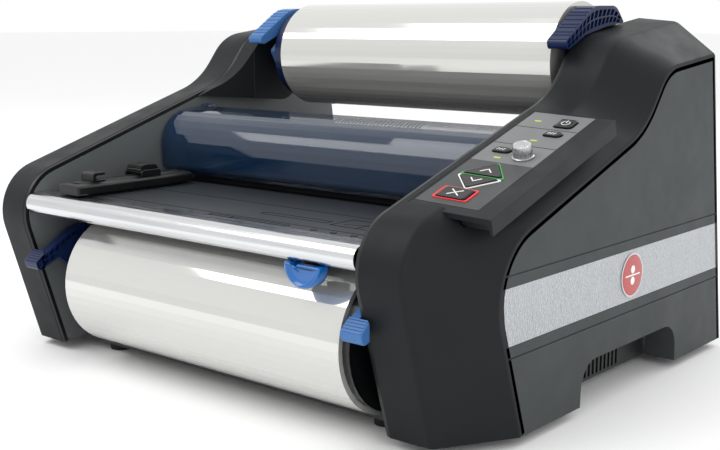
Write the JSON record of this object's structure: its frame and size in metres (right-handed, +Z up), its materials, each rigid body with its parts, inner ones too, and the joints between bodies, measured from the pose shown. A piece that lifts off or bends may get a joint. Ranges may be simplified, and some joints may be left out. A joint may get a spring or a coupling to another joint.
{
  "type": "desktop roll laminator",
  "caption": "Desktop heated roll laminator: side pods, feed table, smoked shield, heated and pull rollers, film rolls with levers, control console.",
  "frame": {"origin": "on the surface that the feet rest on, under the middle of the machine's bounding box", "axes": "+Z up, +X to the right as the user sees it, +Y from the user towards the rear, where the sheet comes out"},
  "size_m": [0.5553, 0.4624, 0.3285],
  "materials": {
    "charcoal": "fine-grained moulded plastic, charcoal",
    "panel_grey": "fine-grained moulded plastic, mid grey",
    "silver_strip": "silver strip with a fine woven texture",
    "badge_red": "glossy domed disc, red with a white rim",
    "wall_grey": "satin grey paint on steel plate",
    "black_steel": "black powder coat",
    "charcoal_steel": "charcoal powder coat",
    "foot_rubber": "matt black rubber",
    "black_plastic": "satin black plastic",
    "gloss_black": "glossy black keys with coloured outlines",
    "table_grey": "dark grey satin paint",
    "lip_aluminium": "brushed along its length",
    "bright_blue": "glossy blue plastic",
    "silicone": "dark silicone sleeve on a tube",
    "roller_rubber": "black rubber sleeve on a shaft",
    "nylon": "natural nylon",
    "steel": "turned steel",
    "zinc": "zinc plate",
    "film": "tightly wound clear film, which looks glossy white",
    "navy": "satin navy plastic",
    "light_blue": "satin light blue plastic",
    "smoke": "transparent smoked blue, polished",
    "console_grey": "fine-grained dark grey plastic",
    "label_light": "printed film overlay, light grey",
    "label_dark": "printed film overlay, dark grey",
    "knob_silver": "satin silver with a ribbed edge",
    "board_green": "circuit board with its components"
  },
  "bodies": {
    "frame": {"left_fascia": "charcoal", "right_fascia": "charcoal", "left_side_panel": "panel_grey", "right_side_panel": "panel_grey", "left_side_strip": "silver_strip", "right_side_strip": "silver_strip", "left_side_badge": "badge_red", "right_side_badge": "badge_red", "left_side_wall": "wall_grey", "right_side_wall": "wall_grey", "base_pan": "black_steel", "front_left_foot": "foot_rubber", "front_right_foot": "foot_rubber", "rear_left_foot": "foot_rubber", "rear_right_foot": "foot_rubber", "rear_cover": "charcoal_steel", "rear_hood": "charcoal_steel", "power_inlet": "black_plastic", "feed_table": "table_grey", "entry_guide": "black_plastic", "table_lip": "lip_aluminium", "drive_motor": "zinc", "upper_left_roll_housing": "charcoal", "console_body": "console_grey", "upper_label": "label_light", "lower_label": "label_dark", "control_board": "board_green", "power_board": "board_green"},
    "lower_heat": {"lower_heat_roller": "silicone", "lower_heat_gear": "nylon"},
    "upper_heat": {"upper_heat_roller": "silicone", "upper_heat_gear": "nylon"},
    "lower_pull": {"lower_pull_roller": "roller_rubber", "lower_pull_gear": "nylon"},
    "upper_pull": {"upper_pull_roller": "roller_rubber", "upper_pull_gear": "nylon"},
    "idler": {"idler_gear": "nylon"},
    "pinion": {"motor_pinion": "steel"},
    "upper_roll": {"upper_film": "film", "upper_core": "navy"},
    "lower_roll": {"lower_film": "film", "lower_core": "gloss_black"},
    "shield": {"heat_shield": "smoke"},
    "upper_right_handle": {"upper_right_lever": "navy"},
    "upper_left_handle": {"upper_left_lever": "light_blue"},
    "lower_right_handle": {"lower_right_lever": "light_blue"},
    "lower_left_handle": {"lower_left_lever": "navy"},
    "guide": {"paper_guide": "black_plastic"},
    "lock": {"guide_lock": "black_plastic"},
    "slitter": {"film_slitter": "bright_blue"},
    "power_key": {"power_button": "gloss_black"},
    "temperature_key": {"temperature_button": "gloss_black"},
    "fan_key": {"fan_button": "gloss_black"},
    "forward_key": {"forward_button": "gloss_black"},
    "reverse_key": {"reverse_button": "gloss_black"},
    "stop_key": {"stop_button": "gloss_black"},
    "knob": {"speed_knob": "knob_silver"},
    "rocker": {"power_rocker": "gloss_black"}
  },
  "joints": [
    {"name": "lower_heat_turn", "type": "hinge", "parent": "frame", "child": "lower_heat", "pos_m": [0, -0.016, 0.1325], "axis": [1, 0, 0], "continuous": true},
    {"name": "upper_heat_turn", "type": "hinge", "parent": "frame", "child": "upper_heat", "pos_m": [0, -0.016, 0.1785], "axis": [1, 0, 0], "continuous": true},
    {"name": "lower_pull_turn", "type": "hinge", "parent": "frame", "child": "lower_pull", "pos_m": [0, 0.075, 0.1375], "axis": [1, 0, 0], "continuous": true},
    {"name": "upper_pull_turn", "type": "hinge", "parent": "frame", "child": "upper_pull", "pos_m": [0, 0.075, 0.1735], "axis": [1, 0, 0], "continuous": true},
    {"name": "idler_turn", "type": "hinge", "parent": "frame", "child": "idler", "pos_m": [0, 0.03307, 0.11859], "axis": [1, 0, 0], "continuous": true},
    {"name": "pinion_turn", "type": "hinge", "parent": "frame", "child": "pinion", "pos_m": [0, -0.0335, 0.10219], "axis": [1, 0, 0], "continuous": true},
    {"name": "upper_roll_turn", "type": "hinge", "parent": "frame", "child": "upper_roll", "pos_m": [0, 0.0988, 0.2765], "axis": [1, 0, 0], "continuous": true},
    {"name": "lower_roll_turn", "type": "hinge", "parent": "frame", "child": "lower_roll", "pos_m": [0, -0.1632, 0.076], "axis": [1, 0, 0], "continuous": true},
    {"name": "shield_hinge", "type": "hinge", "parent": "frame", "child": "shield", "pos_m": [0, -0.008, 0.2225], "axis": [-1, 0, 0], "range_deg": [0, 48]},
    {"name": "upper_right_lever_hinge", "type": "hinge", "parent": "frame", "child": "upper_right_handle", "pos_m": [0.1885, 0.1453, 0.298], "axis": [-1, 0, 0], "range_deg": [0, 55]},
    {"name": "upper_left_lever_hinge", "type": "hinge", "parent": "frame", "child": "upper_left_handle", "pos_m": [-0.1536, 0.1453, 0.298], "axis": [-1, 0, 0], "range_deg": [0, 55]},
    {"name": "lower_right_lever_hinge", "type": "hinge", "parent": "frame", "child": "lower_right_handle", "pos_m": [0.188, -0.1632, 0.076], "axis": [1, 0, 0], "range_deg": [0, 45]},
    {"name": "lower_left_lever_hinge", "type": "hinge", "parent": "frame", "child": "lower_left_handle", "pos_m": [-0.1765, -0.1632, 0.076], "axis": [1, 0, 0], "range_deg": [0, 45]},
    {"name": "guide_slide", "type": "slide", "parent": "frame", "child": "guide", "axis": [1, 0, 0], "range_m": [-0.026, 0.28]},
    {"name": "guide_lock_hinge", "type": "hinge", "parent": "guide", "child": "lock", "pos_m": [-0.155, -0.118, 0.1708], "axis": [-1, 0, 0], "range_deg": [0, 20]},
    {"name": "slitter_slide", "type": "slide", "parent": "frame", "child": "slitter", "axis": [1, 0, 0], "range_m": [-0.3, 0.03]},
    {"name": "power_press", "type": "slide", "parent": "frame", "child": "power_key", "axis": [-0.0536, 0.3129, -0.9483], "range_m": [0, 0.001], "stiffness_N_per_m": 150, "springref_m": -0.001},
    {"name": "temperature_press", "type": "slide", "parent": "frame", "child": "temperature_key", "axis": [-0.0536, 0.3129, -0.9483], "range_m": [0, 0.001], "stiffness_N_per_m": 150, "springref_m": -0.001},
    {"name": "fan_press", "type": "slide", "parent": "frame", "child": "fan_key", "axis": [-0.0536, 0.3129, -0.9483], "range_m": [0, 0.001], "stiffness_N_per_m": 150, "springref_m": -0.001},
    {"name": "forward_press", "type": "slide", "parent": "frame", "child": "forward_key", "axis": [-0.0536, 0.3129, -0.9483], "range_m": [0, 0.001], "stiffness_N_per_m": 150, "springref_m": -0.001},
    {"name": "reverse_press", "type": "slide", "parent": "frame", "child": "reverse_key", "axis": [-0.0536, 0.3129, -0.9483], "range_m": [0, 0.001], "stiffness_N_per_m": 150, "springref_m": -0.001},
    {"name": "stop_press", "type": "slide", "parent": "frame", "child": "stop_key", "axis": [-0.0536, 0.3129, -0.9483], "range_m": [0, 0.001], "stiffness_N_per_m": 150, "springref_m": -0.001},
    {"name": "speed_knob_turn", "type": "hinge", "parent": "frame", "child": "knob", "pos_m": [0.24683, -0.08918, 0.21047], "axis": [0.0536, -0.3129, 0.9483], "range_deg": [-140, 140]},
    {"name": "power_rocker_hinge", "type": "hinge", "parent": "frame", "child": "rocker", "pos_m": [0.142, 0.218, 0.042], "axis": [1, 0, 0], "range_deg": [0, 9]}
  ],
  "couplings": [
    {"joint": "upper_heat_turn", "follows": "lower_heat_turn", "ratio": -1},
    {"joint": "idler_turn", "follows": "lower_heat_turn", "ratio": -0.82143},
    {"joint": "lower_pull_turn", "follows": "lower_heat_turn", "ratio": 1.2778},
    {"joint": "upper_pull_turn", "follows": "lower_heat_turn", "ratio": -1.2778},
    {"joint": "pinion_turn", "follows": "lower_heat_turn", "ratio": -1.9167}
  ]
}
